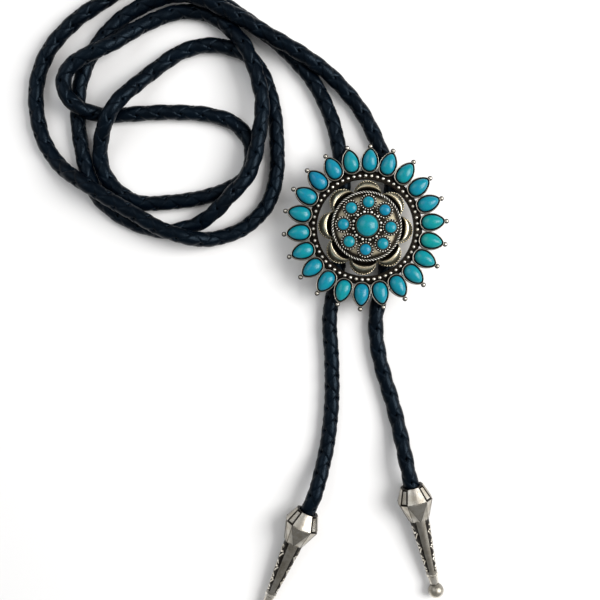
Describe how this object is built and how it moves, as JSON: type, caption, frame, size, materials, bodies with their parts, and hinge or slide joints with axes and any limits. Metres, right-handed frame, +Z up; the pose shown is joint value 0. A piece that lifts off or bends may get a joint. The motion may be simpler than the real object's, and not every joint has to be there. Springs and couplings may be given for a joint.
{
  "type": "bolo tie",
  "caption": "Round sunburst concho set with turquoise cabochons on a long braided leather cord with two tapered metal tips, laid face up in loose loops.",
  "frame": {"origin": "on the table under the middle of the concho", "axes": "+Z up, out of the concho's face; +Y along the concho towards the neck loop; +X to the concho's right seen from above"},
  "size_m": [0.1323, 0.1883, 0.0168],
  "materials": {
    "antique_silver": "antiqued silver plate, bright on the high spots and black in the recesses",
    "antique_brass": "antiqued, brassy silver with black recesses",
    "turquoise": "polished turquoise cabochon",
    "clip_steel": "plain plated sheet",
    "cord_leather": "four-strand round braid, black with a blue sheen"
  },
  "bodies": {
    "root": {"concho_body": "antique_silver", "medallion": "antique_brass", "pear_stone_01": "turquoise", "pear_stone_02": "turquoise", "pear_stone_03": "turquoise", "pear_stone_04": "turquoise", "pear_stone_05": "turquoise", "pear_stone_06": "turquoise", "pear_stone_07": "turquoise", "pear_stone_08": "turquoise", "pear_stone_09": "turquoise", "pear_stone_10": "turquoise", "pear_stone_11": "turquoise", "pear_stone_12": "turquoise", "pear_stone_13": "turquoise", "pear_stone_14": "turquoise", "pear_stone_15": "turquoise", "pear_stone_16": "turquoise", "pear_stone_17": "turquoise", "pear_stone_18": "turquoise", "pear_stone_19": "turquoise", "pear_stone_20": "turquoise", "pear_stone_21": "turquoise", "pear_stone_22": "turquoise", "round_stone_1": "turquoise", "round_stone_2": "turquoise", "round_stone_3": "turquoise", "round_stone_4": "turquoise", "round_stone_5": "turquoise", "round_stone_6": "turquoise", "round_stone_7": "turquoise", "round_stone_8": "turquoise", "centre_stone": "turquoise", "slide_clip": "clip_steel", "cord": "cord_leather", "tip_left": "antique_silver", "tip_right": "antique_silver"}
  },
  "joints": []
}
